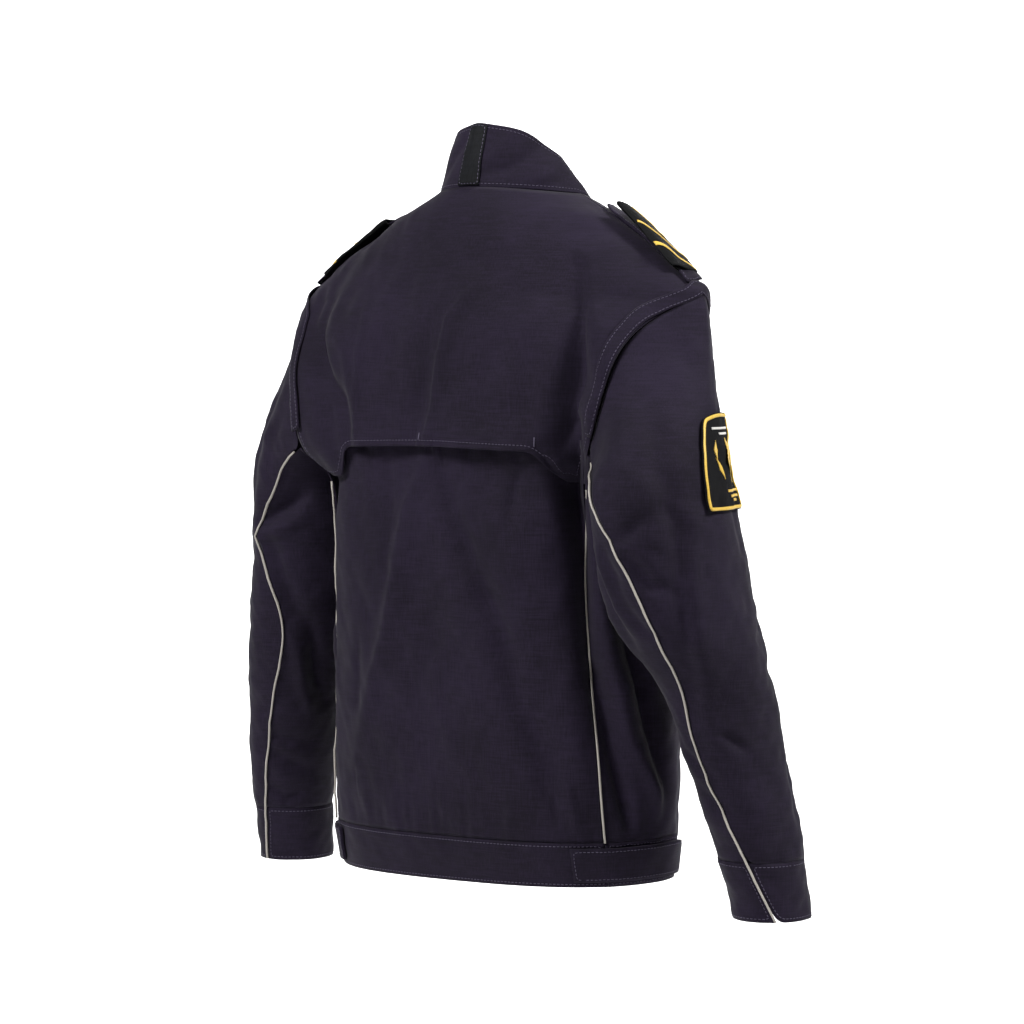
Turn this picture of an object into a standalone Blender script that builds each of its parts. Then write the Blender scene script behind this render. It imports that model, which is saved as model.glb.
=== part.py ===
"""Police uniform jacket in its worn form: a hollow shell of cut and sewn cloth pieces.

Axes: +X is the wearer's left, +Y is the back, +Z is up. The origin is the middle of the
neck opening, at the height of the collar seam at the centre back.
Sizes are in millimetres and become metres when a mesh is made.
"""
import math

import bmesh
import bpy
from mathutils import Vector

MM = 0.001
JACKET = "police_uniform_jacket"

# Cloth and seams
CLOTH = 1.5
DOUBLE_CLOTH = 2.6
SEAM_HALF_GAP = 0.16
LIFT = 0.5
PIPING_RADIUS = 1.3
STEP = 0.5
BISECTIONS = 30
ACROSS_STRIP = (-1.0, -0.5, 0.0, 0.5, 1.0)

# Torso: one row for each level, each a rounded section seen from above.
# up is the distance along the centre back from the hem, z_* are heights, square_* are the
# exponents of the rounded section, seam_* are the distances of the seams or armhole edges
# from the middle plane.
TORSO_COLUMNS = ("name", "up", "z_side", "z_back", "z_front", "half_width", "y_side", "y_back",
                 "y_front", "square_back", "square_front", "seam_back", "seam_front")
TORSO_ROWS = (
    ("hem", 0, -681, -681, -676, 190, 12, 120, -84, 2.6, 2.05, 172, 164),
    ("band_top", 45, -636, -636, -632, 194, 12, 128, -90, 2.7, 2.05, 174, 166),
    ("hip", 121, -560, -560, -558, 195, 12, 134, -96, 2.8, 2.05, 174, 166),
    ("waist", 211, -470, -470, -468, 192, 12, 138, -104, 2.8, 2.1, 169, 165),
    ("ribs", 311, -370, -370, -370, 185, 14, 140, -112, 3.1, 2.2, 163, 164),
    ("armpit", 396, -287, -285, -288, 183, 16, 141, -118, 3.3, 2.1, 165, 162),
    ("corner", 426, -260, -255, -262, 226, 18, 141, -120, 4.0, 1.8, 184, 174),
    ("chest", 456, -232, -226, -236, 236, 20, 140, -122, 4.1, 1.7, 194, 182),
    ("blade", 520, -170, -162, -182, 236, 26, 137, -120, 3.6, 1.65, 207, 200),
    ("cap", 560, -133, -122, -158, 241, 29, 131, -116, 2.6, 1.6, 222, 220),
    ("shoulder_end", 585, -106, -98, -140, 249, 31, 125, -112, 1.75, 1.6, 249, 249),
    ("shoulder_top", 612, -83, -79, -126, 219, 28, 118, -107, 1.8, 1.7, 219, 219),
    ("shoulder_mid", 640, -60, -54, -110, 186, 24, 110, -101, 1.9, 1.8, 186, 186),
    ("shoulder_in", 670, -31, -24, -88, 135, 15, 98, -93, 2.0, 1.9, 135, 135),
    ("neck", 700, -6, 0, -66, 79, 2, 80, -84, 2.0, 2.0, 79, 79),
)
BAND_BACK_STEPS = 20
BAND_FRONT_STEPS = 18
BAND_LIFT = 0.6
FRONT_EDGE = 179.7
HEM_TILT = 0.022
HEM_LEVEL_X = 150
HEM_TILT_END = 200
BAND_TOP = 45
CORNER = 426
SHOULDER_END = 585
NECK = 700
UNDERARM_DIP = 32
UNDERARM_LEVELS = (396, 411, 426)
BODY_STEPS = 10
ARMHOLE_STEPS = 7
SHOULDER_STEPS = 6
SIDE_STEPS = 8
FRONT_STEPS = 9
BACK_SEAM_TURN = 60

# Yoke: the vent flap on the upper back and the action pleat on each side of it.
# shift moves both pleats towards the wearer's right, as the worn jacket has turned.
PLEAT_COLUMNS = ("up", "x", "depth", "shift")
PLEAT_ROWS = (
    (380, 135, 3, 10),
    (425, 137, 3, 11),
    (445, 142, 4, 13),
    (470, 152, 9, 13),
    (510, 166, 11, 5),
    (560, 171, 9, 0),
    (600, 165, 5, 0),
    (640, 150, 1, 0),
)
PLEAT_WIDTH = 9
PLEAT_TO_SEAM = 6
YOKE_EDGE = 428
YOKE_SEAM_GAP = 0.4
YOKE_FLAP_ROW = 446
YOKE_SIDE_EDGE = 396
YOKE_STEPS = 40
YOKE_EDGE_FADE = 20
YOKE_MIDDLE_SHARE = 0.7
VENT_COLUMNS = ("x", "stand_off")
VENT_ROWS = ((-147, 0), (-110, 5), (-60, 9), (-25, 6), (5, 0), (45, 3), (90, 4), (126, 0))
VENT_FADE = 75
VENT_CURVE = 1.5

# Lower back panel, which passes under the yoke
BACK_TOP = 440
BACK_STEPS = 24
INSET_COLUMNS = ("up", "inset")
INSET_ROWS = ((330, 0), (366, 1.5), (390, 9.8), (440, 10.2))

# Soft folds raised in the torso: from one point to another, by distance up and across (x).
# They die out towards their ends, the seams (in degrees) and the hem band.
FOLD_END_SHARE = 0.12
BACK_SEAM_FADE = 6
FRONT_SEAM_FADE = 8
BAND_FADE = 12
FOLD_COLUMNS = ("up_low", "across_low", "up_high", "across_high", "depth", "width")
BACK_FOLDS = (
    (180, -40, 395, 62, -3.5, 14),
    (90, 30, 330, -20, -2.5, 18),
    (60, -120, 380, -150, -4, 16),
    (120, 128, 360, 150, -3, 16),
    (300, -75, 395, -60, -2.5, 10),
)
YOKE_FOLDS = (
    (425, 36, 575, 30, 3, 14),
    (425, 105, 560, 128, -3, 12),
    (470, -70, 590, -95, -2, 18),
)
# Deep folds at the sides, which cross the seams: here across is a direction in degrees from
# the centre back, towards the wearer's left.
SIDE_FOLDS = (
    (62, -71, 398, -55, -15, 13),
    (66, -94, 300, -66, 11, 14),
    (66, 71, 400, 60, -9, 12),
    (66, 92, 300, 68, 8, 14),
)
SIDE_FOLD_SCALE = 3.2
FRONT_FOLDS = (
    (80, -190, 330, -95, 5, 20),
    (80, 190, 330, 95, 5, 20),
    (250, -70, 470, -140, -4, 16),
    (240, 75, 470, 140, -4, 16),
)

# Collar: one row for each direction, in degrees from the centre back, of its top edge
COLLAR_COLUMNS = ("turn", "x", "y", "z")
COLLAR_ROWS = ((0, 0, 65, 64), (45, 45, 46, 54), (90, 60, 0, 24), (135, 46, -46, -12),
               (180, 0, -68, -40))
COLLAR_CLOTH = 2.2
COLLAR_HOLLOW = 1.5
COLLAR_STEPS = 5
COLLAR_TURN_STEPS = 32
COLLAR_SHARE_STEP = 0.02
COLLAR_RADIUS = 75
COLLAR_FRONT = 178.9
COLLAR_SEAM_GAP = 0.5

# Sleeves: one row for each level below the head; turns are where the piping runs
SLEEVE_COLUMNS = ("drop", "x", "y_right", "y_left", "half_across", "half_deep",
                  "piping_right", "piping_left")
SLEEVE_ROWS = (
    (300, 247, 88, 27, 61, 84, 112, 104),
    (335, 249, 82, 22, 62, 86, 92, 74),
    (370, 252, 75, 18, 62, 86, 78, 82),
    (430, 260, 58, 22, 60, 80, 72, 112),
    (455, 265, 42, 30, 56, 68, 78, 120),
    (480, 271, 29, 35, 50, 58, 88, 116),
    (540, 284, 24, 24, 47, 54, 93, 104),
    (600, 299, 15, 15, 43, 50, 80, 100),
    (640, 305, 8, 8, 39, 45, 69, 93),
    (697, 311, -2, -2, 37, 41, 47, 86),
)
HEAD_DROP = 300
DROP_UNIT = 100
DOWN_STEP = 0.04
CUFF_TOP = 640
CUFF_END = 697
ARMHOLE_INSET = 2.2
CORNER_TURN = 118
FRONT_SEAM = 360 - CORNER_TURN
SLEEVE_HALF_GAP = 0.45
HEAD_HALF_GAP = 1.5
NORMAL_TURN = 10
HEAD_STEPS = 5
SLEEVE_STEPS = 10
CUFF_STEPS = 22
HEAD_START = Vector((0.14, 0.0, -1.0))
HEAD_FULLNESS = 0.14
HEAD_SPREAD = 0.6

# Trim
WELT_WIDTH = 13
WELT_STEPS = 4 * ARMHOLE_STEPS
WELT_LIFT = 1.4
WELT_TURN_STEP = 3
TAPE_WIDTH = 25
TAPE_CLOTH = 1.2
TAPE_INSET = 0.03
STRAP_WIDTH = 44
STRAP_FORWARD = {"left": 3, "right": 16}
STRAP_LIFT = 3.1
STRAP_INNER = 112
STRAP_OUTER = 236
STRAP_POINT = 16
STRAP_TAPER = 0.5
SLIDE_WIDTH = 58
SLIDE_HEIGHT = 6.4
SLIDE_LIFT = 0.6
SLIDE_INNER = 146
SLIDE_OUTER = 226
SLIDE_WALL = 1.4
SLIDE_RISE = 2
SLIDE_EDGE_ROUND = 0.5
SLIDE_TOP_ROUND = 0.8
SLIDE_SEAM_TURN = 1
TAB_HEIGHT = 34
TAB_LENGTH = 152
TAB_START = 148
TAB_CLOTH = 3.0
TAB_CENTRE_UP = 23
TAB_TAPER_START = 0.85
TAB_TAPER = 0.25
TAB_STEPS = 14
PLACKET_WIDTH = 44
PLACKET_LIFT = 1.5
PLACKET_FOOT = 2
PLACKET_HEAD = 4
PLACKET_STEPS = 16
PATCH_WIDTH = 75
PATCH_TOP = 224
PATCH_END = 309
PATCH_CLOTH = 1.6
PATCH_LIFT = 0.8
PATCH_START_TURN = 8
PATCH_RADIUS = 76
PATCH_ARCH = 6

SIDES = {"left": 1, "right": -1}


def linear_from_hex(code):
    """Turn an sRGB hex colour into linear values."""
    channels = [int(code[i:i + 2], 16) / 255 for i in (0, 2, 4)]
    linear = [c / 12.92 if c <= 0.04045 else ((c + 0.055) / 1.055) ** 2.4 for c in channels]
    return (*linear, 1.0)


def make_material(name, hex_colour, roughness):
    material = bpy.data.materials.new(name)
    material.use_nodes = True
    shader = material.node_tree.nodes["Principled BSDF"]
    shader.inputs["Base Color"].default_value = linear_from_hex(hex_colour)
    shader.inputs["Roughness"].default_value = roughness
    shader.inputs["Metallic"].default_value = 0.0
    return material


def lerp(start, end, share):
    return start + (end - start) * share


def smooth_value(table, columns, key, column, where):
    """Read a table column at any place along its key by a smooth curve with no overshoot."""
    key_index = columns.index(key)
    index = columns.index(column)
    xs = [row[key_index] for row in table]
    ys = [row[index] for row in table]
    where = min(max(where, xs[0]), xs[-1])
    slopes = [(ys[i + 1] - ys[i]) / (xs[i + 1] - xs[i]) for i in range(len(xs) - 1)]
    tangents = [slopes[0]]
    for before, after in zip(slopes, slopes[1:]):
        same_way = before * after > 0
        tangents.append(2 * before * after / (before + after) if same_way else 0.0)
    tangents.append(slopes[-1])
    i = max(k for k in range(len(xs) - 1) if xs[k] <= where)
    span = xs[i + 1] - xs[i]
    t = (where - xs[i]) / span
    return ((2 * t ** 3 - 3 * t ** 2 + 1) * ys[i] + (t ** 3 - 2 * t ** 2 + t) * span * tangents[i]
            + (3 * t ** 2 - 2 * t ** 3) * ys[i + 1] + (t ** 3 - t ** 2) * span * tangents[i + 1])


def torso_value(column, up):
    return smooth_value(TORSO_ROWS, TORSO_COLUMNS, "up", column, up)


def section_reach(turn, half_width, depth, square):
    """Distance from the middle of a rounded section to its edge, in a direction."""
    across = abs(math.sin(math.radians(turn))) / half_width
    along = abs(math.cos(math.radians(turn))) / depth
    return (across ** square + along ** square) ** (-1 / square)


def torso_point(up, turn):
    """A point of the torso's outer face; turn is 0 at the back, 90 at the wearer's left."""
    cosine = math.cos(math.radians(turn))
    end = "back" if cosine >= 0 else "front"
    y_side = torso_value("y_side", up)
    depth = abs(torso_value("y_" + end, up) - y_side)
    reach = section_reach(turn, torso_value("half_width", up), depth,
                          torso_value("square_" + end, up))
    z_side = torso_value("z_side", up)
    z = lerp(z_side, torso_value("z_" + end, up), cosine ** 2)
    x = reach * math.sin(math.radians(turn))
    z += HEM_TILT * (HEM_LEVEL_X - x) * max(0.0, 1 - up / HEM_TILT_END)
    return Vector((x, y_side + reach * cosine, z))


def seam_at(up, end):
    """Direction of a seam or armhole edge at a level, from its distance in x."""
    seam = torso_value("seam_" + end, up)
    square = torso_value("square_" + end, up)
    depth = abs(torso_value("y_" + end, up) - torso_value("y_side", up))
    share = min(seam / torso_value("half_width", up), 1.0)
    turn = math.degrees(math.atan2(seam, depth * (1 - share ** square) ** (1 / square)))
    return turn if end == "back" else 180 - turn


def wave(distance, width):
    return math.exp(-(distance / width) ** 2)


def fold_height(folds, up, across, scale=1.0):
    """Sum of the soft folds at a place: raised where depth is above zero."""
    total = 0.0
    for row in folds:
        fold = dict(zip(FOLD_COLUMNS, row))
        along = Vector((fold["up_high"] - fold["up_low"],
                        (fold["across_high"] - fold["across_low"]) * scale))
        here = Vector((up - fold["up_low"], (across - fold["across_low"]) * scale))
        share = min(max(here.dot(along) / along.length_squared, 0.0), 1.0)
        away = (here - along * share).length
        ends = math.sin(math.pi * lerp(FOLD_END_SHARE, 1 - FOLD_END_SHARE, share))
        total += fold["depth"] * ends * wave(away, fold["width"])
    return total


def surface_normal(place, a, b):
    """Outward direction of a surface that two numbers place."""
    across = place(a, b + STEP) - place(a, b - STEP)
    along = place(a + STEP, b) - place(a - STEP, b)
    return along.cross(across).normalized()


def torso_normal(up, turn):
    up = min(max(up, STEP), NECK - STEP)
    return surface_normal(torso_point, up, turn)


def torso_place(up, turn, depth=0.0):
    around = turn - 360 if turn > 180 else turn
    out = fold_height(SIDE_FOLDS, up, around, SIDE_FOLD_SCALE)
    out *= 1 - wave(max(up - BAND_TOP, 0.0), BAND_FADE)
    return torso_point(up, turn) - torso_normal(up, turn) * (depth - out)


def turn_step(up, turn, distance):
    """Degrees of turn that cover a distance along the cloth."""
    span = (torso_point(up, turn + STEP) - torso_point(up, turn - STEP)).length
    return distance * 2 * STEP / span


def armhole_up(share):
    """Level of the armhole edge, from its top at 0 to the corner at 1."""
    return SHOULDER_END - (SHOULDER_END - CORNER) * (1 - math.cos(share * math.pi / 2))


def spread(count, start=0.0, end=1.0):
    return [lerp(start, end, i / count) for i in range(count + 1)]


def body_levels():
    """Levels that neighbouring torso pieces share along their seams, band to armhole."""
    levels = spread(BODY_STEPS, BAND_TOP + SEAM_HALF_GAP, UNDERARM_LEVELS[0])
    return levels + list(UNDERARM_LEVELS[1:])


def upper_levels():
    """Levels above the armhole's corner: along its edge, then over the shoulder."""
    hole = [armhole_up(share) for share in reversed(spread(ARMHOLE_STEPS)[:-1])]
    return hole + spread(SHOULDER_STEPS, SHOULDER_END, NECK - SEAM_HALF_GAP)[1:]


def slab(name, columns, rows, place, thickness, material):
    """A flat piece of cloth with thickness, wrapped on the form by place(column, row, depth)."""
    mesh_builder = bmesh.new()
    wide, tall = len(columns) - 1, len(rows) - 1
    bmesh.ops.create_grid(mesh_builder, x_segments=wide, y_segments=tall, size=0.5)
    grown = bmesh.ops.extrude_face_region(mesh_builder, geom=mesh_builder.faces[:])
    for item in grown["geom"]:
        if isinstance(item, bmesh.types.BMVert):
            item.co.z = 1.0
    for vertex in mesh_builder.verts:
        column = columns[round((vertex.co.x + 0.5) * wide)]
        row = rows[round((vertex.co.y + 0.5) * tall)]
        vertex.co = place(column, row, thickness * round(vertex.co.z)) * MM
    bmesh.ops.recalc_face_normals(mesh_builder, faces=mesh_builder.faces[:])
    if mesh_builder.calc_volume(signed=True) < 0:
        bmesh.ops.reverse_faces(mesh_builder, faces=mesh_builder.faces[:])
    return add_object(name, mesh_builder, material)


def add_object(name, mesh_builder, material):
    mesh = bpy.data.meshes.new(name)
    mesh_builder.to_mesh(mesh)
    mesh_builder.free()
    mesh.shade_smooth()
    mesh.materials.append(material)
    part = bpy.data.objects.new(name, mesh)
    bpy.data.collections[JACKET].objects.link(part)
    return part


def tube(name, points, radius, material):
    """A cord of piping along points, as a curve with closed ends."""
    curve = bpy.data.curves.new(name, "CURVE")
    curve.dimensions = "3D"
    curve.bevel_depth = radius * MM
    curve.bevel_resolution = 1
    curve.use_fill_caps = True
    spline = curve.splines.new("POLY")
    spline.points.add(len(points) - 1)
    for spline_point, point in zip(spline.points, points):
        spline_point.co = (*(point * MM), 1.0)
    curve.materials.append(material)
    part = bpy.data.objects.new(name, curve)
    bpy.data.collections[JACKET].objects.link(part)
    return part


# The torso's panels

def pleat_value(column, up):
    return smooth_value(PLEAT_ROWS, PLEAT_COLUMNS, "up", column, up)


def turn_of_x(up, x):
    """Direction on the back half of a section at a distance in x."""
    width = torso_value("half_width", up)
    depth = torso_value("y_back", up) - torso_value("y_side", up)
    square = torso_value("square_back", up)
    share = min(abs(x) / width, 1.0)
    return math.degrees(math.atan2(abs(x), depth * (1 - share ** square) ** (1 / square)))


def yoke_place(column, row, depth):
    """column runs from -1 to 1 across the yoke, row is a level or a share under the corner."""
    across = abs(column)
    side = 1 if column >= 0 else -1
    in_flap = across < YOKE_MIDDLE_SHARE
    edge_up = YOKE_EDGE if in_flap else YOKE_SIDE_EDGE
    up = lerp(edge_up, YOKE_FLAP_ROW if in_flap else CORNER, row) if row <= 1 else row
    outer = seam_at(up, "back") - turn_step(up, 90, YOKE_SEAM_GAP)
    pleat_x = pleat_value("x", up) - side * pleat_value("shift", up)
    pleat = min(turn_of_x(up, pleat_x), outer - PLEAT_TO_SEAM)
    if in_flap:
        turn = pleat * across / YOKE_MIDDLE_SHARE
    else:
        turn = lerp(pleat, outer, (across - YOKE_MIDDLE_SHARE) / (1 - YOKE_MIDDLE_SHARE))
    point = torso_point(up, side * turn)
    from_pleat = abs(point.x) - pleat_x
    out = -pleat_value("depth", up) * wave(from_pleat, PLEAT_WIDTH)
    out += fold_height(YOKE_FOLDS, up, point.x) * (1 - wave(up - YOKE_EDGE, YOKE_EDGE_FADE))
    if in_flap:
        stand_off = smooth_value(VENT_ROWS, VENT_COLUMNS, "x", "stand_off", point.x)
        out += stand_off * max(0.0, 1 - (up - edge_up) / VENT_FADE) ** VENT_CURVE
    return torso_place(up, side * turn, depth - out)


def make_yoke(cloth):
    slab("back_yoke", spread(YOKE_STEPS, -1.0, 1.0), [0.0, 0.5, 1.0] + upper_levels(),
         yoke_place, CLOTH, cloth)


def back_place(column, up, depth):
    edge = seam_at(up, "back") - turn_step(up, BACK_SEAM_TURN, SEAM_HALF_GAP)
    turn = column * edge
    point = torso_point(up, turn)
    inset = smooth_value(INSET_ROWS, INSET_COLUMNS, "up", "inset", up)
    near_seam = 1 - wave((1 - abs(column)) * edge, BACK_SEAM_FADE)
    out = fold_height(BACK_FOLDS, up, point.x) * near_seam - inset
    return torso_place(up, turn, depth - out)


def make_back(cloth):
    slab("back_panel", spread(BACK_STEPS, -1.0, 1.0), body_levels() + [BACK_TOP], back_place,
         CLOTH, cloth)


def side_place(side):
    def place(column, level, depth):
        low = BAND_TOP + SEAM_HALF_GAP
        top = CORNER - UNDERARM_DIP * math.sin(math.pi * column)
        up = lerp(low, top, (level - low) / (CORNER - low))
        gap = turn_step(up, 90, SEAM_HALF_GAP)
        turn = lerp(seam_at(up, "back") + gap, seam_at(up, "front") - gap, column)
        return torso_place(up, side * turn, depth)
    return place


def front_place(side):
    def place(column, up, depth):
        gap = turn_step(up, 90, SEAM_HALF_GAP)
        start = seam_at(up, "front") + gap
        end = 180 - turn_step(up, 180, SEAM_HALF_GAP * 2)
        turn = lerp(start, end, column)
        point = torso_point(up, side * turn)
        near_edge = 1 - wave(turn - start, FRONT_SEAM_FADE)
        out = fold_height(FRONT_FOLDS, up, point.x) * near_edge * (1 - wave(up - BAND_TOP, BAND_FADE))
        return torso_place(up, side * turn, depth - out)
    return place


def make_sides_and_fronts(cloth):
    for side, sign in SIDES.items():
        slab("side_" + side, spread(SIDE_STEPS), body_levels(), side_place(sign), CLOTH, cloth)
        slab("front_" + side, spread(FRONT_STEPS), body_levels() + upper_levels(),
             front_place(sign), CLOTH, cloth)


def placket_place(column, up, depth):
    turn = 180 + turn_step(up, 180, PLACKET_WIDTH / 2) * column
    return torso_place(up, turn, depth - PLACKET_LIFT - DOUBLE_CLOTH)


def make_placket(cloth):
    rows = spread(PLACKET_STEPS, BAND_TOP + PLACKET_FOOT, NECK - PLACKET_HEAD)
    slab("placket", ACROSS_STRIP, rows, placket_place, DOUBLE_CLOTH, cloth)


# The hem band and its tabs

def band_place(start, end):
    def place(column, row, depth):
        up = lerp(0, BAND_TOP - SEAM_HALF_GAP, row)
        first = start(up) + turn_step(up, 90, SEAM_HALF_GAP)
        last = end(up) - turn_step(up, 90, SEAM_HALF_GAP)
        return torso_place(up, lerp(first, last, column), depth - BAND_LIFT)
    return place


def make_band(cloth):
    rows = [0.0, 0.5, 1.0]

    def back_left(up):
        return seam_at(up, "back")

    def back_right(up):
        return -seam_at(up, "back")

    slab("band_back", spread(BAND_BACK_STEPS), rows, band_place(back_right, back_left),
         DOUBLE_CLOTH, cloth)
    slab("band_front_left", spread(BAND_FRONT_STEPS), rows,
         band_place(back_left, lambda up: FRONT_EDGE), DOUBLE_CLOTH, cloth)
    slab("band_front_right", spread(BAND_FRONT_STEPS), rows,
         band_place(lambda up: -FRONT_EDGE, back_right), DOUBLE_CLOTH, cloth)


def make_tabs(cloth):
    for side, sign in SIDES.items():
        def place(column, row, depth, sign=sign):
            taper = max(column - TAB_TAPER_START, 0.0) / (1 - TAB_TAPER_START)
            up = TAB_CENTRE_UP + row * TAB_HEIGHT / 2 * (1 - TAB_TAPER * taper)
            start = turn_of_x(up, TAB_START)
            turn = start + turn_step(up, 90, TAB_LENGTH) * column
            return torso_place(up, sign * turn, depth - BAND_LIFT - LIFT - TAB_CLOTH)
        slab("tab_" + side, spread(TAB_STEPS), [-1.0, 0.0, 1.0], place, TAB_CLOTH, cloth)


# The collar and its tape

def collar_point(turn, height):
    """A point of the collar's outer face, from the neck seam at 0 to its top edge at 1."""
    away = min(abs(turn), 180)
    side = 1 if turn >= 0 else -1
    base = torso_point(NECK, away)
    top = Vector([smooth_value(COLLAR_ROWS, COLLAR_COLUMNS, "turn", axis, away)
                  for axis in ("x", "y", "z")])
    flat = Vector((top.x - base.x, top.y - base.y, 0.0))
    base = base + Vector((0.0, 0.0, COLLAR_SEAM_GAP))
    inward = COLLAR_HOLLOW * math.sin(math.pi * height)
    point = base.lerp(top, height) - flat.normalized() * inward
    return Vector((point.x * side, point.y, point.z))


def collar_place(turn, height, depth):
    turn = min(max(turn, -COLLAR_FRONT), COLLAR_FRONT)
    low = collar_point(turn, max(height - COLLAR_SHARE_STEP, 0.0))
    high = collar_point(turn, min(height + COLLAR_SHARE_STEP, 1.0))
    across = collar_point(turn + 1, height) - collar_point(turn - 1, height)
    return collar_point(turn, height) - (high - low).cross(across).normalized() * depth


def make_collar(cloth, webbing):
    slab("collar", spread(COLLAR_TURN_STEPS, -COLLAR_FRONT, COLLAR_FRONT),
         spread(COLLAR_STEPS), collar_place, COLLAR_CLOTH, cloth)

    def tape_place(column, height, depth):
        turn = math.degrees(column * TAPE_WIDTH / 2 / COLLAR_RADIUS)
        return collar_place(turn, height, depth - LIFT - TAPE_CLOTH)

    slab("collar_tape", ACROSS_STRIP, spread(COLLAR_STEPS, TAPE_INSET, 1 - TAPE_INSET),
         tape_place, TAPE_CLOTH, webbing)


# The sleeves

def sleeve_value(column, drop):
    return smooth_value(SLEEVE_ROWS, SLEEVE_COLUMNS, "drop", column, drop)


def sleeve_ring(side, drop, around):
    """A level section of a sleeve; around is 0 outside, 90 at the back, 180 at the body."""
    angle = math.radians(around)
    x = sleeve_value("x", drop) + sleeve_value("half_across", drop) * math.cos(angle)
    y = sleeve_value("y_" + side, drop) + sleeve_value("half_deep", drop) * math.sin(angle)
    return Vector((SIDES[side] * x, y, -drop))


def armhole_path(around):
    """Level and direction of the armhole edge, at the same direction as the sleeve's."""
    around = around % 360
    if around <= CORNER_TURN:
        up = armhole_up(around / CORNER_TURN)
        return up, seam_at(up, "back")
    if around >= FRONT_SEAM:
        up = armhole_up((360 - around) / CORNER_TURN)
        return up, seam_at(up, "front")
    share = (around - CORNER_TURN) / (FRONT_SEAM - CORNER_TURN)
    up = CORNER - UNDERARM_DIP * math.sin(math.pi * share)
    return up, lerp(seam_at(up, "back"), seam_at(up, "front"), share)


def armhole_place(side, around):
    up, turn = armhole_path(around)
    return torso_point(up, SIDES[side] * turn)


ARMHOLE_CENTRE = (armhole_place("left", 0) + armhole_place("left", 180)) / 2


def mirrored(vector, side):
    return Vector((vector.x * SIDES[side], vector.y, vector.z))


def sleeve_point(side, down, around):
    """A point of a sleeve's outer face: down runs 0 to 1 over the head, then on by its drop."""
    if down > 1:
        return sleeve_ring(side, HEAD_DROP + (down - 1) * DROP_UNIT, around)
    edge = armhole_place(side, around)
    inward = (mirrored(ARMHOLE_CENTRE, side) - edge).normalized()
    start = edge + inward * ARMHOLE_INSET
    end = sleeve_ring(side, HEAD_DROP, around)
    length = (end - start).length
    away = HEAD_START + Vector((HEAD_SPREAD * math.sin(math.radians(around / 2)) ** 2, 0.0, 0.0))
    leave = (mirrored(away, side) - inward * HEAD_FULLNESS).normalized() * length
    arrive = (sleeve_ring(side, HEAD_DROP + 1, around) - end).normalized() * length
    t = down
    return (start * (2 * t ** 3 - 3 * t ** 2 + 1) + leave * (t ** 3 - 2 * t ** 2 + t)
            + end * (3 * t ** 2 - 2 * t ** 3) + arrive * (t ** 3 - t ** 2))


def sleeve_place(side, down, around, depth=0.0):
    low, high = max(down - DOWN_STEP, 0.0), down + DOWN_STEP
    along = sleeve_point(side, high, around) - sleeve_point(side, low, around)
    across = (sleeve_point(side, down, around + NORMAL_TURN)
              - sleeve_point(side, down, around - NORMAL_TURN))
    normal = along.cross(across).normalized() * SIDES[side]
    return sleeve_point(side, down, around) - normal * depth


def down_of_drop(drop):
    return 1 + (drop - HEAD_DROP) / DROP_UNIT


def piping_turn(side, down):
    """Direction of the back sleeve seam, which the piping follows."""
    if down >= 1:
        return sleeve_value("piping_" + side, HEAD_DROP + (down - 1) * DROP_UNIT)
    return lerp(CORNER_TURN, sleeve_value("piping_" + side, HEAD_DROP), down)


def sleeve_rows():
    head = spread(HEAD_STEPS)
    last = down_of_drop(CUFF_TOP - SEAM_HALF_GAP)
    return head + spread(SLEEVE_STEPS, 1.0, last)[1:]


def seam_gap_turn(side, down):
    """Degrees that keep the sleeve's two halves apart."""
    seam = piping_turn(side, down)
    width = (sleeve_point(side, down, seam + 1) - sleeve_point(side, down, seam - 1)).length
    return 2 * lerp(HEAD_HALF_GAP, SLEEVE_HALF_GAP, min(down, 1.0)) / width


def make_sleeves(cloth):
    for side in SIDES:
        def upper_place(column, down, depth, side=side):
            gap = seam_gap_turn(side, down)
            start = FRONT_SEAM - 360 + gap
            end = piping_turn(side, down) - gap
            return sleeve_place(side, down, lerp(start, end, column), depth)

        def under_place(column, down, depth, side=side):
            gap = seam_gap_turn(side, down)
            start = piping_turn(side, down) + gap
            return sleeve_place(side, down, lerp(start, FRONT_SEAM - gap, column), depth)

        def cuff_place(column, row, depth, side=side):
            down = down_of_drop(lerp(CUFF_TOP + SEAM_HALF_GAP, CUFF_END, row))
            gap = seam_gap_turn(side, down)
            start = piping_turn(side, down) + gap
            return sleeve_place(side, down, lerp(start, start + 360 - 2 * gap, column), depth)

        slab("upper_sleeve_" + side, spread(2 * ARMHOLE_STEPS), sleeve_rows(), upper_place,
             CLOTH, cloth)
        slab("under_sleeve_" + side, spread(SIDE_STEPS), sleeve_rows(), under_place, CLOTH,
             cloth)
        slab("cuff_" + side, spread(CUFF_STEPS), [0.0, 0.5, 1.0], cuff_place, DOUBLE_CLOTH,
             cloth)


# The trim on the shoulders and arms

def beside_armhole(around, distance):
    """Level and direction of a place on the body, at a distance in from the armhole edge."""
    up, turn = armhole_path(around)
    before = armhole_path(around - WELT_TURN_STEP)
    after = armhole_path(around + WELT_TURN_STEP)
    up_scale = (torso_point(up + STEP, turn) - torso_point(up - STEP, turn)).length / 2 / STEP
    turn_scale = (torso_point(up, turn + STEP) - torso_point(up, turn - STEP)).length / 2 / STEP
    along = Vector(((after[0] - before[0]) * up_scale, (after[1] - before[1]) * turn_scale))
    along.normalize()
    return up - along.y * distance / up_scale, turn + along.x * distance / turn_scale


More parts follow.
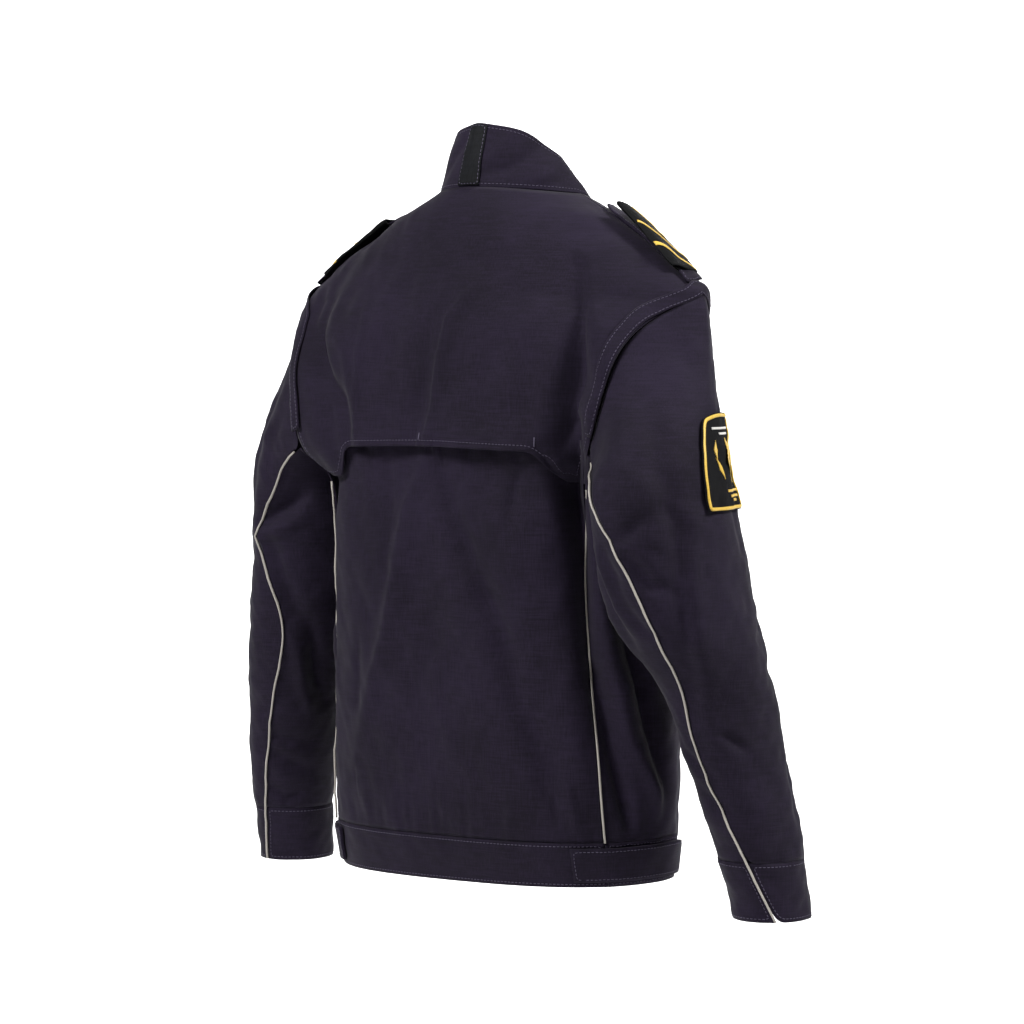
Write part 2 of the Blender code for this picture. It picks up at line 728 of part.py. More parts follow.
def make_welts(cloth):
    """The body's armhole edge, folded back and stitched, which stands over the sleeve head."""
    for side, sign in SIDES.items():
        def place(column, around, depth, sign=sign):
            up, turn = beside_armhole(around, WELT_WIDTH * column)
            return torso_place(up, sign * turn, depth - WELT_LIFT - CLOTH)
        slab("armhole_welt_" + side, [0.0, 0.5, 1.0],
             spread(WELT_STEPS, -CORNER_TURN, CORNER_TURN)[1:-1], place, CLOTH, cloth)


def shoulder_up(x):
    """Level on the shoulder line at a distance from the middle plane."""
    low, high = SHOULDER_END, NECK
    for _ in range(BISECTIONS):
        middle = (low + high) / 2
        if torso_value("half_width", middle) > x:
            low = middle
        else:
            high = middle
    return low


def make_shoulder_straps(cloth, slide_cloth):
    for side, sign in SIDES.items():
        def strap_place(column, x, depth, side=side, sign=sign):
            up = shoulder_up(x)
            point_share = max(0.0, 1 - (x - STRAP_INNER) / STRAP_POINT)
            half = STRAP_WIDTH / 2 * (1 - STRAP_TAPER * point_share)
            turn = 90 + turn_step(up, 90, STRAP_FORWARD[side] + half * column)
            return torso_place(up, sign * turn, depth - STRAP_LIFT - CLOTH)

        def slide_place(column, x, depth, side=side, sign=sign):
            angle = math.radians(column)
            half = SLIDE_WIDTH / 2 - depth
            tall = SLIDE_HEIGHT / 2 - depth
            flat = math.copysign(abs(math.cos(angle)) ** SLIDE_EDGE_ROUND, math.cos(angle)) * half
            high = math.copysign(abs(math.sin(angle)) ** SLIDE_TOP_ROUND, math.sin(angle)) * tall
            share = (SLIDE_OUTER - x) / (SLIDE_OUTER - SLIDE_INNER)
            up = shoulder_up(x)
            turn = 90 + turn_step(up, 90, STRAP_FORWARD[side] + flat)
            lift = SLIDE_LIFT + SLIDE_HEIGHT / 2 + high + SLIDE_RISE * share ** 2 * (high > 0)
            return torso_place(up, sign * turn, -lift)

        slab("epaulette_" + side, ACROSS_STRIP, spread(8, STRAP_INNER, STRAP_OUTER),
             strap_place, CLOTH, cloth)
        round_slide = spread(16, SLIDE_SEAM_TURN - 90, 270 - SLIDE_SEAM_TURN)
        slab("shoulder_slide_" + side, round_slide, spread(4, SLIDE_INNER, SLIDE_OUTER),
             slide_place, SLIDE_WALL, slide_cloth)


def make_patch(patch_cloth):
    def place(column, row, depth):
        arch = PATCH_ARCH * (1 - (2 * column - 1) ** 2)
        drop = lerp(PATCH_TOP - arch, PATCH_END, row)
        around = PATCH_START_TURN - math.degrees(PATCH_WIDTH / PATCH_RADIUS) * column
        low, high = 0.0, down_of_drop(CUFF_TOP)
        for _ in range(BISECTIONS):
            middle = (low + high) / 2
            if -sleeve_point("right", middle, around).z < drop:
                low = middle
            else:
                high = middle
        return sleeve_place("right", low, around, depth - PATCH_LIFT - PATCH_CLOTH)
    slab("sleeve_patch", spread(8), spread(7), place, PATCH_CLOTH, patch_cloth)


def make_piping(piping_cloth):
    out = PIPING_RADIUS + LIFT
    for side, sign in SIDES.items():
        levels = body_levels()[:-len(UNDERARM_LEVELS)] + [YOKE_SIDE_EDGE - 6]
        body_points = [torso_place(u, sign * seam_at(u, "back"), -out) for u in levels]
        tube("body_piping_" + side, body_points, PIPING_RADIUS, piping_cloth)
        rows = sleeve_rows()[1:]
        rows += spread(2, down_of_drop(CUFF_TOP + 2), down_of_drop(CUFF_END - 1))
        points = [sleeve_place(side, down, piping_turn(side, down), -out) for down in rows]
        tube("sleeve_piping_" + side, points, PIPING_RADIUS, piping_cloth)


def main():
    for item in list(bpy.data.objects):
        bpy.data.objects.remove(item, do_unlink=True)
    jacket = bpy.data.collections.new(JACKET)
    bpy.context.scene.collection.children.link(jacket)
    cloth = make_material("navy_twill", "2B2733", 0.85)
    webbing = make_material("black_webbing", "17181A", 0.7)
    slide_cloth = make_material("black_slide_cloth", "0C0C0D", 0.6)
    patch_cloth = make_material("patch_cloth", "15130F", 0.8)
    piping_cloth = make_material("reflective_piping", "A09A92", 0.5)
    make_yoke(cloth)
    make_back(cloth)
    make_sides_and_fronts(cloth)
    make_placket(cloth)
    make_band(cloth)
    make_tabs(cloth)
    make_collar(cloth, webbing)
    make_sleeves(cloth)
    make_welts(cloth)
    make_shoulder_straps(cloth, slide_cloth)
    make_patch(patch_cloth)
    make_piping(piping_cloth)


main()
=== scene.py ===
"""Looks of a navy police uniform jacket, in its worn form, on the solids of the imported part.

Axes: +X is the wearer's left, +Y is the back, +Z is up; the origin is in the neck opening.
Sizes in this file are millimetres unless a name ends in _M.
"""
import math
from collections import Counter, defaultdict

import bmesh
import bpy
import numpy as np
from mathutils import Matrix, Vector
from mathutils.bvhtree import BVHTree
from mathutils.kdtree import KDTree


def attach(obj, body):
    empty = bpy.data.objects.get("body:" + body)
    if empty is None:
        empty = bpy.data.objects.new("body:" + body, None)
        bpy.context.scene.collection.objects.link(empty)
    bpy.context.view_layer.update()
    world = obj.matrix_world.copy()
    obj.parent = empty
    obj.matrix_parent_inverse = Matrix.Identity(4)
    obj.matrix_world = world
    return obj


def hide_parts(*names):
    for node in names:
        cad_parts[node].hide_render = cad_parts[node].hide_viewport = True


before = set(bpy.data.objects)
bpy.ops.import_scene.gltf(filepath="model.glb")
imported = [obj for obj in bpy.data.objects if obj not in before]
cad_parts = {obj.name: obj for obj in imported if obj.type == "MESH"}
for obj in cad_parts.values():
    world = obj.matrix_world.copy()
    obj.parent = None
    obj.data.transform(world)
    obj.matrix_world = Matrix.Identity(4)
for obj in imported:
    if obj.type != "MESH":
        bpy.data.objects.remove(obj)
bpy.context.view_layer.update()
MM = 0.001
SIDES = {"left": 1, "right": -1}

# The navy cloth: a fine cotton blend twill. Its diagonal ribs and uneven yarns break up the
# light, so it looks matt with a faint sheen on the folds; the colour is a purplish navy. The
# yarns are drawn about 1.1 mm apart, because the real ones are too fine to show.
CLOTH_COLOURS = ("140F1B", "1F1829")
CLOTH_YARNS_PER_M = 900
CLOTH_ROUGHNESS = 0.8
CLOTH_SHEEN = 0.05
CLOTH_BUMP = 0.5
FIBRE_IOR = 1.5
SHEEN_ROUGHNESS = 0.45
WOVEN_SPECULAR = 0.12
YARN_STRETCH = 0.05
CLOUDS_PER_M = 9.0
CLOUD_SHARE = 0.35
RIBS_PER_YARN = 0.6
RIB_SHARE = 0.3
WEAVE_RELIEF_M = 0.0004


def linear(code):
    """sRGB hex to linear colour."""
    channels = [int(code[i:i + 2], 16) / 255 for i in (0, 2, 4)]
    return tuple(c / 12.92 if c <= 0.04045 else ((c + 0.055) / 1.055) ** 2.4
                 for c in channels) + (1.0,)


def new_material(name, roughness, sheen=0.0, specular=0.5):
    """A Principled material with its even values on the shader's own sockets."""
    material = bpy.data.materials.new(name)
    material.use_nodes = True
    shader = material.node_tree.nodes["Principled BSDF"]
    shader.inputs["Roughness"].default_value = roughness
    shader.inputs["IOR"].default_value = FIBRE_IOR
    shader.inputs["Specular IOR Level"].default_value = specular
    shader.inputs["Sheen Weight"].default_value = sheen
    shader.inputs["Sheen Roughness"].default_value = SHEEN_ROUGHNESS
    return material, material.node_tree, shader


def add_node(tree, kind, settings=None, links=None):
    """Adds a node; settings are its values and links are the sockets that feed its inputs."""
    node = tree.nodes.new(kind)
    for key, value in (settings or {}).items():
        if key in node.inputs:
            node.inputs[key].default_value = value
        else:
            setattr(node, key, value)
    for key, socket in (links or {}).items():
        tree.links.new(socket, node.inputs[key])
    return node


def colour_and_relief(tree, shader, tone, colours, ends, height, bump, depth_m):
    """One pattern colours the shader between two shades, and another one raises its surface."""
    ramp = add_node(tree, "ShaderNodeValToRGB", links={"Fac": tone})
    for element, code, position in zip(ramp.color_ramp.elements, colours, ends):
        element.position = position
        element.color = linear(code)
    tree.links.new(ramp.outputs["Color"], shader.inputs["Base Color"])
    relief = add_node(tree, "ShaderNodeBump", {"Strength": bump, "Distance": depth_m},
                      {"Height": height})
    tree.links.new(relief.outputs["Normal"], shader.inputs["Normal"])


def woven_material(name, colours, roughness, sheen, yarns_per_m, bump):
    """Woven cloth: warp and weft yarns of uneven thickness, with a diagonal rib over them."""
    material, tree, shader = new_material(name, roughness, sheen, WOVEN_SPECULAR)
    place = add_node(tree, "ShaderNodeTexCoord").outputs["Object"]
    threads = []
    for stretch in ((1.0, 1.0, YARN_STRETCH), (YARN_STRETCH, YARN_STRETCH, 1.0)):
        mapped = add_node(tree, "ShaderNodeMapping", {"Scale": stretch}, {"Vector": place})
        threads.append(add_node(tree, "ShaderNodeTexNoise",
                                {"Scale": yarns_per_m, "Detail": 2.0},
                                {"Vector": mapped.outputs["Vector"]}))
    weave = add_node(tree, "ShaderNodeMix", {"data_type": "FLOAT", "Factor": 0.5},
                     {"A": threads[0].outputs["Fac"], "B": threads[1].outputs["Fac"]})
    cloudy = add_node(tree, "ShaderNodeTexNoise", {"Scale": CLOUDS_PER_M, "Detail": 3.0},
                      {"Vector": place})
    tone = add_node(tree, "ShaderNodeMix", {"data_type": "FLOAT", "Factor": CLOUD_SHARE},
                    {"A": weave.outputs["Result"], "B": cloudy.outputs["Fac"]})
    rib = add_node(tree, "ShaderNodeTexWave",
                   {"Scale": yarns_per_m * RIBS_PER_YARN, "Distortion": 1.0,
                    "bands_direction": "DIAGONAL"}, {"Vector": place})
    height = add_node(tree, "ShaderNodeMix", {"data_type": "FLOAT", "Factor": RIB_SHARE},
                      {"A": weave.outputs["Result"], "B": rib.outputs["Fac"]})
    colour_and_relief(tree, shader, tone.outputs["Result"], colours, (0.4, 0.6),
                      height.outputs["Result"], bump, WEAVE_RELIEF_M)
    return material


twill = woven_material("navy_cotton_twill", CLOTH_COLOURS, CLOTH_ROUGHNESS, CLOTH_SHEEN,
                       CLOTH_YARNS_PER_M, CLOTH_BUMP)

# The body's panels: yoke with its vent flap and pleats, lower back, sides, fronts, placket,
# and the hem band with its tabs, cut from the navy twill and sewn edge to edge. Worn cloth
# hangs in soft troughs and ridges, and gathers into small puckers above the band.
# A place on the body is a direction in degrees from the centre back, towards the wearer's left,
# and a height.
FOLD_STRENGTH = 1.6
FOLD_TIP = 0.1
FOLD_TIP_POWER = 0.7
FOLD_ROUNDNESS = 1.8
BODY_CENTRE_Y = 12
BODY_MM_PER_DEGREE = 3.2
BODY_FOLDS = (
    # (points of direction and height, depth, width on the fold's left, width on its right)
    (((71, -106), (55, -171), (44, -210), (39, -252)), -7, 9, 9),
    (((-63, -76), (-59, -131), (-57, -175), (-55, -216), (-55, -250), (-58, -280), (-61, -330),
      (-63, -400), (-65, -470)), -10, 12, 7),
    (((-55, -228), (-56, -262), (-60, -310), (-62, -380), (-64, -440)), -8, 13, 8),
    (((-64, -368), (-66, -416), (-69, -454), (-71, -483), (-76, -536), (-84, -590)), 4.5, 6, 9),
    (((-66, -462), (-68, -500), (-71, -550), (-76, -612)), -9, 7, 7),
    (((-70, -392), (-75, -440), (-79, -480), (-82, -520), (-87, -565)), -11, 9, 14),
    (((-80, -66), (-74, -96), (-70, -115), (-65, -136)), -3.5, 10, 10),
    (((-62, -148), (-59, -175), (-58, -204)), -4, 6, 6),
    (((-65, -112), (-61, -150), (-59, -178)), 3, 7, 7),
    (((-58, -74), (-54, -102), (-50, -147), (-48, -207)), -2, 12, 12),
    (((-20, -102), (-9, -131), (-5, -176), (-3, -215), (0, -245)), 2.4, 6, 16),
    (((0, -124), (2, -189), (5, -237)), -1.6, 12, 9),
    (((42, -113), (39, -133), (38, -177), (37, -245)), 1.4, 4, 6),
    (((-39, -138), (-44, -176), (-45, -219), (-43, -243)), -1.6, 9, 9),
    (((60, -110), (44, -163), (40, -209)), 2, 7, 8),
    (((36, -58), (18, -108), (17, -150)), -1.5, 22, 22),
    (((5, -263), (14, -313), (18, -368), (24, -434), (35, -502), (45, -570)), 3.6, 12, 24),
    (((-4, -276), (-11, -311), (-21, -361), (-28, -396), (-35, -439), (-40, -490),
      (-47, -534), (-53, -571)), -6.5, 12, 22),
    (((-43, -266), (-40, -293), (-39, -319)), -2.2, 7, 7),
    (((-49, -271), (-56, -330), (-60, -394), (-62, -456)), 2.6, 9, 9),
    (((27, -271), (23, -326), (24, -385)), -1.3, 9, 9),
    (((40, -437), (42, -514)), -1.6, 8, 8),
    (((-48, -568), (-53, -590), (-55, -612)), -2.2, 5, 6),
    (((-57, -574), (-59, -596), (-60, -615)), 1.8, 5, 5),
    (((-81, -558), (-86, -605)), 3, 6, 6),
    (((-104, -420), (-108, -520), (-112, -605)), -3, 11, 11),
    (((62, -370), (70, -450), (80, -530), (90, -612)), 2, 9, 11),
    (((66, -340), (66, -450), (70, -600)), -2, 8, 8),
    (((104, -430), (110, -530), (110, -610)), -3, 10, 10),
    (((128, -210), (140, -300), (146, -420)), -3.5, 12, 12),
    (((-126, -220), (-138, -310), (-150, -440)), -3.5, 12, 12),
    (((150, -450), (140, -560), (128, -620)), 3, 12, 12),
    (((-152, -420), (-144, -540), (-134, -620)), 3.4, 12, 12),
    (((116, -140), (124, -200), (118, -262)), -3, 9, 9),
    (((-114, -140), (-122, -210), (-120, -262)), -3, 9, 9),
)
BODY_RIPPLES = (
    # (height, shortest wave, longest wave, seed)
    (0.55, 30, 75, 11), (0.22, 12, 24, 12),
)
RIPPLE_WAVES = 18
RIPPLE_SPREAD = 3
GATHER_TOP = -636
GATHER_HEIGHT = 30
GATHER_DEPTH = 0.9
PUCKER_WAVES = ((4.1, 0.0), (6.7, 1.3), (2.9, 0.4))
STILL_HEM_Z = -690
STILL_HEM_FADE = 60
STILL_HEM_SHARE = 0.15
STILL_NECK_RADIUS = 88
STILL_NECK_DEPTH = 90
STILL_NECK_FADE = 25
CORE_Y = 20.0
CORE_TOP_Z = -150
CORE_HEIGHTS = (-300, -200)
CORE_REACHES = (110, 170)


def folds(rows, across, up, scale):
    """Height of the listed folds; scale turns directions of the rows into millimetres."""
    total = np.zeros_like(across)
    for points, depth, left, right in rows:
        line = [(scale(turn, height), height) for turn, height in points]
        lengths = [math.dist(a, b) for a, b in zip(line, line[1:])]
        nearest = np.full_like(across, 1e9)
        side = np.zeros_like(across)
        share = np.zeros_like(across)
        done = 0.0
        for (a, b), length in zip(zip(line, line[1:]), lengths):
            dx, dy = (b[0] - a[0]) / length, (b[1] - a[1]) / length
            along = np.clip((across - a[0]) * dx + (up - a[1]) * dy, 0, length)
            off_x = across - a[0] - along * dx
            off_y = up - a[1] - along * dy
            away = np.hypot(off_x, off_y)
            closer = away < nearest
            nearest = np.where(closer, away, nearest)
            side = np.where(closer, off_x, side)
            share = np.where(closer, (done + along) / sum(lengths), share)
            done += length
        width = np.where(side > 0, left, right)
        ends = np.sin(np.pi * (FOLD_TIP + (1 - 2 * FOLD_TIP) * share)) ** FOLD_TIP_POWER
        total += depth * ends * np.exp(-(nearest / width) ** FOLD_ROUNDNESS)
    return total


def ripples(rows, points):
    """Small uneven waviness of worn cloth: a fixed sum of waves in all directions."""
    total = np.zeros(len(points))
    for height, shortest, longest, seed in rows:
        numbers = np.random.default_rng(seed)
        for _ in range(RIPPLE_WAVES):
            way = numbers.normal(size=3)
            way /= np.linalg.norm(way)
            length = numbers.uniform(shortest, longest)
            phase = numbers.uniform(0, 2 * math.pi)
            wave = np.sin(points @ way * 2 * math.pi / length + phase)
            total += height / RIPPLE_SPREAD * wave
    return total


def unit(vectors):
    """The same directions with a length of one."""
    return vectors / np.linalg.norm(vectors, axis=1, keepdims=True)


def body_out(points):
    """Outward directions on the body, away from a flat core inside it."""
    x, y, z = points.T
    reach = np.interp(z, CORE_HEIGHTS, CORE_REACHES)
    core = np.stack([np.clip(x, -reach, reach), np.full_like(x, CORE_Y),
                     np.minimum(z, CORE_TOP_Z)], 1)
    return unit(points - core)


def body_move(points):
    """How far the body's cloth moves from the plain solids, as vectors."""
    x, y, z = points.T
    turn = np.degrees(np.arctan2(x, y - BODY_CENTRE_Y))
    across = turn * BODY_MM_PER_DEGREE
    height = FOLD_STRENGTH * folds(BODY_FOLDS, across, z, lambda t, _: t * BODY_MM_PER_DEGREE)
    height += ripples(BODY_RIPPLES, points)
    above_band = np.clip((z - GATHER_TOP) / GATHER_HEIGHT, 0, None)
    pucker = sum(np.sin(across / length + phase) for length, phase in PUCKER_WAVES)
    height += GATHER_DEPTH * pucker / 2 * above_band * np.exp(1 - 2 * above_band)
    height *= np.clip((z - STILL_HEM_Z) / STILL_HEM_FADE, STILL_HEM_SHARE, 1)
    from_neck = np.hypot(x, y) - STILL_NECK_RADIUS + np.maximum(-z - STILL_NECK_DEPTH, 0)
    height *= np.clip(from_neck / STILL_NECK_FADE, 0, 1)
    return body_out(points) * height[:, None]


SHARP_EDGE = math.radians(68)
SEAM_ANGLE = math.radians(60)
SAME_PLACE_M = 1e-6
QUAD_GRID = 2.0
QUAD_FLATNESS = math.radians(60)
QUAD_SKEW = math.radians(80)


def fine_copy(node, levels):
    """A finer copy of a solid: its triangles joined to quads again, then subdivided smoothly."""
    builder = bmesh.new()
    builder.from_mesh(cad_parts[node].data)
    bmesh.ops.remove_doubles(builder, verts=builder.verts[:], dist=SAME_PLACE_M)
    bmesh.ops.join_triangles(builder, faces=builder.faces[:], topology_influence=QUAD_GRID,
                             angle_face_threshold=QUAD_FLATNESS,
                             angle_shape_threshold=QUAD_SKEW)
    crease = builder.edges.layers.float.new("crease_edge")
    corner = builder.verts.layers.float.new("crease_vert")
    for edge in builder.edges:
        if edge.calc_face_angle(0.0) > SHARP_EDGE:
            edge[crease] = 1.0
    for vertex in builder.verts:
        if sum(edge[crease] for edge in vertex.link_edges) > 2:
            vertex[corner] = 1.0
    mesh = bpy.data.meshes.new(node + "_cloth")
    builder.to_mesh(mesh)
    builder.free()
    piece = bpy.data.objects.new(node + "_cloth", mesh)
    bpy.context.scene.collection.objects.link(piece)
    smooth = piece.modifiers.new("smooth", "SUBSURF")
    smooth.levels = smooth.render_levels = levels
    graph = bpy.context.evaluated_depsgraph_get()
    fine = bpy.data.meshes.new_from_object(piece.evaluated_get(graph))
    piece.modifiers.clear()
    piece.data = fine
    bpy.data.meshes.remove(mesh)
    fine.name = node + "_cloth"
    return piece


def read_points(mesh):
    """The mesh's points as an array, in millimetres."""
    flat = np.zeros(len(mesh.vertices) * 3, np.float32)
    mesh.vertices.foreach_get("co", flat)
    return flat.reshape(-1, 3).astype(float) / MM


def shape(piece, move):
    """Moves both faces of the cloth together by the fold vectors."""
    mesh = piece.data
    points = read_points(mesh)
    points += move(points)
    mesh.vertices.foreach_set("co", (points * MM).astype(np.float32).ravel())
    mesh.update()


def cut_piece(node, levels, move, material):
    """The cloth that stands for a solid: its finer copy, folded, in its own material."""
    piece = fine_copy(node, levels)
    shape(piece, move)
    piece.data.materials.clear()
    piece.data.materials.append(material)
    piece.data.shade_smooth()
    piece.data.set_sharp_from_angle(angle=SEAM_ANGLE)
    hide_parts(node)
    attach(piece, "root")
    return piece


BODY_PANELS = (
    # (node, subdivision, width of the cut, length of the cut, flat area)
    ("back_yoke", 2, 0.530, 0.310, 0.130),
    ("back_panel", 3, 0.370, 0.400, 0.140),
    ("side_left", 3, 0.160, 0.385, 0.057),
    ("side_right", 3, 0.160, 0.385, 0.057),
    ("front_left", 2, 0.260, 0.650, 0.126),
    ("front_right", 2, 0.260, 0.650, 0.126),
    ("placket", 2, 0.044, 0.640, None),
    ("band_back", 3, 0.370, 0.045, None),
    ("band_front_left", 2, 0.305, 0.045, None),
    ("band_front_right", 2, 0.305, 0.045, None),
    ("tab_left", 2, 0.152, 0.034, None),
    ("tab_right", 2, 0.152, 0.034, None),
)
cloth = {}
for node, levels, width, length, area in BODY_PANELS:
    cloth[node] = cut_piece(node, levels, body_move, twill)
    cloth[node]

# The collar: a tall stand of the same twill, with a strip of black webbing sewn down its
# centre back. Webbing has coarse crosswise yarns that catch small highlights.
# Its folds are placed by the direction round the neck and a height. Its foot drops at the
# front.
WEBBING_COLOURS = ("08090B", "141519")
WEBBING_YARNS_PER_M = 700
COLLAR_FOLDS = (
    # (points of direction and height, depth, width on the fold's left, width on its right)
    (((-70, 52), (-52, 34), (-28, 14), (-8, 8)), -2.2, 8, 10),
    (((-84, 34), (-66, 14), (-48, 4)), 1.6, 8, 8),
    (((10, 52), (24, 30), (34, 8)), -1.5, 8, 8),
    (((-34, 56), (-22, 36), (-10, 24)), 1.2, 8, 8),
    (((100, 10), (116, -20), (140, -40)), -1.5, 9, 9),
    (((-104, 10), (-120, -20), (-144, -40)), -1.5, 9, 9),
)
COLLAR_MM_PER_DEGREE = 1.25
COLLAR_RIPPLES = ((0.35, 22, 50, 31),)
COLLAR_DROP = 66
STILL_FOOT = 4
STILL_FOOT_FADE = 16
COLLAR_SEAT = 1.2
COLLAR_SEAT_HEIGHT = 12


def collar_move(points):
    """How far the collar moves; its foot stays on the neck seam and sits down on it."""
    x, y, z = points.T
    turn = np.degrees(np.arctan2(x, y))
    height = FOLD_STRENGTH * folds(COLLAR_FOLDS, turn * COLLAR_MM_PER_DEGREE, z,
                                   lambda t, _: t * COLLAR_MM_PER_DEGREE)
    height += ripples(COLLAR_RIPPLES, points)
    foot = -COLLAR_DROP * (1 - np.cos(np.radians(turn))) / 2
    height *= np.clip((z - foot - STILL_FOOT) / STILL_FOOT_FADE, 0, 1)
    moved = unit(np.stack([x, y, np.zeros_like(x)], 1)) * height[:, None]
    moved[:, 2] -= COLLAR_SEAT * np.clip(1 - (z - foot) / COLLAR_SEAT_HEIGHT, 0, 1)
    return moved


webbing = woven_material("black_ribbed_webbing", WEBBING_COLOURS, roughness=0.7, sheen=0.0,
                         yarns_per_m=WEBBING_YARNS_PER_M, bump=0.8)
for node, levels, material, slot_name, flat in (
        ("collar", 3, twill, "navy_twill", (0.400, 0.055)),
        ("collar_tape", 2, webbing, "black_webbing", (0.025, 0.062))):
    cloth[node] = cut_piece(node, levels, collar_move, material)
    cloth[node]

# The sleeves: an upper and an under piece each, set into the armhole, and a cuff that is the
# sleeve's turned end. The folds bunch at the elbow as on a hanging arm.
# Directions round a sleeve are 0 outside, 90 at the back and 180 at the body; a drop is the
# distance down from the origin.
SLEEVE_CENTRES = (
    # (drop, x, y on the right, y on the left, radius)
    (106, 175, 40, 34, 72), (150, 190, 45, 32, 72), (250, 235, 80, 28, 72),
    (300, 247, 88, 27, 73), (370, 252, 75, 18, 74), (430, 260, 58, 22, 70),
    (480, 271, 29, 35, 54), (540, 284, 24, 24, 50), (600, 299, 15, 15, 46),
    (640, 305, 8, 8, 42), (697, 311, -2, -2, 39),
)
DROPS, CENTRES_X, RIGHT_CENTRES_Y, LEFT_CENTRES_Y, RADII = zip(*SLEEVE_CENTRES)
SLEEVE_WRAP = -118
SLEEVE_HEAD_DROP = 230
SLEEVE_HEAD_RISE = 0.5
RIGHT_FOLDS = (
    # (points of direction and height, depth, width on the fold's left, width on its right)
    (((56, -205), (54, -269), (48, -296), (46, -342), (54, -400), (62, -435), (80, -490)),
     -3.6, 11, 13),
    (((30, -330), (37, -360), (50, -435), (72, -503)), 2.6, 9, 12),
    (((92, -336), (79, -327), (66, -312)), -3.4, 6, 6),
    (((80, -352), (70, -375), (58, -379)), -3.8, 7, 7),
    (((92, -400), (84, -418), (74, -425)), -3, 6, 6),
    (((101, -339), (96, -366), (95, -400)), -2.6, 8, 8),
    (((124, -360), (112, -400), (104, -430)), -4, 9, 9),
    (((110, -350), (104, -385), (100, -420)), 3, 7, 7),
    (((150, -330), (136, -390), (118, -438)), 3, 10, 10),
    (((60, -517), (49, -525), (37, -533)), -2.8, 5, 5),
    (((116, -536), (95, -551), (80, -560)), -2.6, 6, 6),
    (((100, -575), (84, -590), (66, -596)), -1.8, 6, 6),
    (((10, -180), (0, -240), (-6, -300)), -1.8, 12, 12),
    (((-50, -190), (-44, -270), (-40, -350)), -2.6, 12, 12),
    (((-70, -380), (-50, -420), (-30, -432)), -3.4, 8, 8),
    (((-76, -430), (-56, -458), (-36, -462)), -3.2, 8, 8),
    (((-60, -520), (-40, -560), (-24, -600)), -2, 8, 8),
    (((160, -460), (150, -520), (140, -590)), -2.4, 8, 8),
)
LEFT_FOLDS = (
    # (points of direction and height, depth, width on the fold's left, width on its right)
    (((85, -336), (101, -321), (120, -303)), -9, 10, 10),
    (((80, -352), (98, -345), (116, -335)), 4, 8, 8),
    (((93, -355), (102, -395), (119, -431)), -5, 8, 9),
    (((131, -440), (152, -490), (169, -523)), -4, 9, 9),
    (((118, -452), (136, -500), (150, -540)), 3, 8, 8),
    (((105, -578), (129, -591), (152, -597)), -3, 6, 6),
    (((100, -560), (128, -566), (150, -570)), -2.6, 6, 6),
    (((103, -618), (122, -629), (143, -624)), -3, 5, 6),
    (((112, -182), (100, -215), (92, -260)), -3, 8, 9),
    (((74, -190), (70, -240), (74, -300)), -2.4, 9, 9),
    (((30, -372), (10, -376), (-12, -370)), -3.4, 7, 7),
    (((-50, -190), (-46, -270), (-40, -350)), -2.6, 12, 12),
    (((-70, -390), (-50, -425), (-30, -436)), -3.4, 8, 8),
    (((-60, -520), (-40, -560), (-24, -600)), -2, 8, 8),
)
SLEEVE_RIPPLES = ((0.5, 28, 60, 21), (0.25, 11, 22, 22))
HEAD_BLEND = 55
HEAD_BULGE = 4.5
HEAD_BULGE_Z = -118
HEAD_BULGE_LENGTH = 42
HEAD_BULGE_TURN = -20
HEAD_BULGE_WIDTH = 90
HEAD_BULGE_PLATEAU = 1.2
ARMHOLE_FOOT_M = -0.296


def sleeve_frame(points, side):
    """Outward directions on a sleeve, with the direction round it and its radius."""
    drop = -points[:, 2]
    centres_y = RIGHT_CENTRES_Y if side == "right" else LEFT_CENTRES_Y
    off_x = np.abs(points[:, 0]) - np.interp(drop, DROPS, CENTRES_X)
    off_y = points[:, 1] - np.interp(drop, DROPS, centres_y)
    turn = np.degrees(np.arctan2(off_y, off_x))
    turn = np.where(turn < SLEEVE_WRAP, turn + 360, turn)
    rise = np.maximum(SLEEVE_HEAD_DROP - drop, 0) * SLEEVE_HEAD_RISE
    way = unit(np.stack([off_x * SIDES[side], off_y, rise], 1))
    return way, turn, np.interp(drop, DROPS, RADII)


def sleeve_scale(turn, height):
    """The distance round a sleeve, in millimetres, of a direction at a height."""
    return math.radians(turn) * float(np.interp(-height, DROPS, RADII))


def point_tree(places):
    """A tree for finding the nearest of many places."""
    tree = KDTree(len(places))
    for i, place in enumerate(places):
        tree.insert(place, i)
    tree.balance()
    return tree


def armhole_tree(side):
    """The armhole's edge, where the sleeve has to move with the body."""
    places = [v.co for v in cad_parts["armhole_welt_" + side].data.vertices]
    places += [v.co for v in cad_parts["side_" + side].data.vertices
               if v.co.z > ARMHOLE_FOOT_M]
    return point_tree([place / MM for place in places])


def sleeve_move(side):
    """A function for how far one sleeve moves: with the body at the armhole, then by its folds."""
    rows = RIGHT_FOLDS if side == "right" else LEFT_FOLDS
    edge = armhole_tree(side)

    def move(points):
        way, turn, radius = sleeve_frame(points, side)
        height = FOLD_STRENGTH * folds(rows, np.radians(turn) * radius, points[:, 2],
                                       sleeve_scale)
        height += ripples(SLEEVE_RIPPLES, points)
        head = HEAD_BULGE * np.exp(-((points[:, 2] - HEAD_BULGE_Z) / HEAD_BULGE_LENGTH) ** 2)
        off_head = np.abs(turn - HEAD_BULGE_TURN) / HEAD_BULGE_WIDTH
        head *= np.clip(HEAD_BULGE_PLATEAU - off_head, 0, 1)
        away = np.array([edge.find(p)[2] for p in points])
        share = np.clip(away / HEAD_BLEND, 0, 1)
        share = (share * share * (3 - 2 * share))[:, None]
        moved = way * height[:, None] * share + body_move(points) * (1 - share)
        return moved + way * head[:, None]

    return move


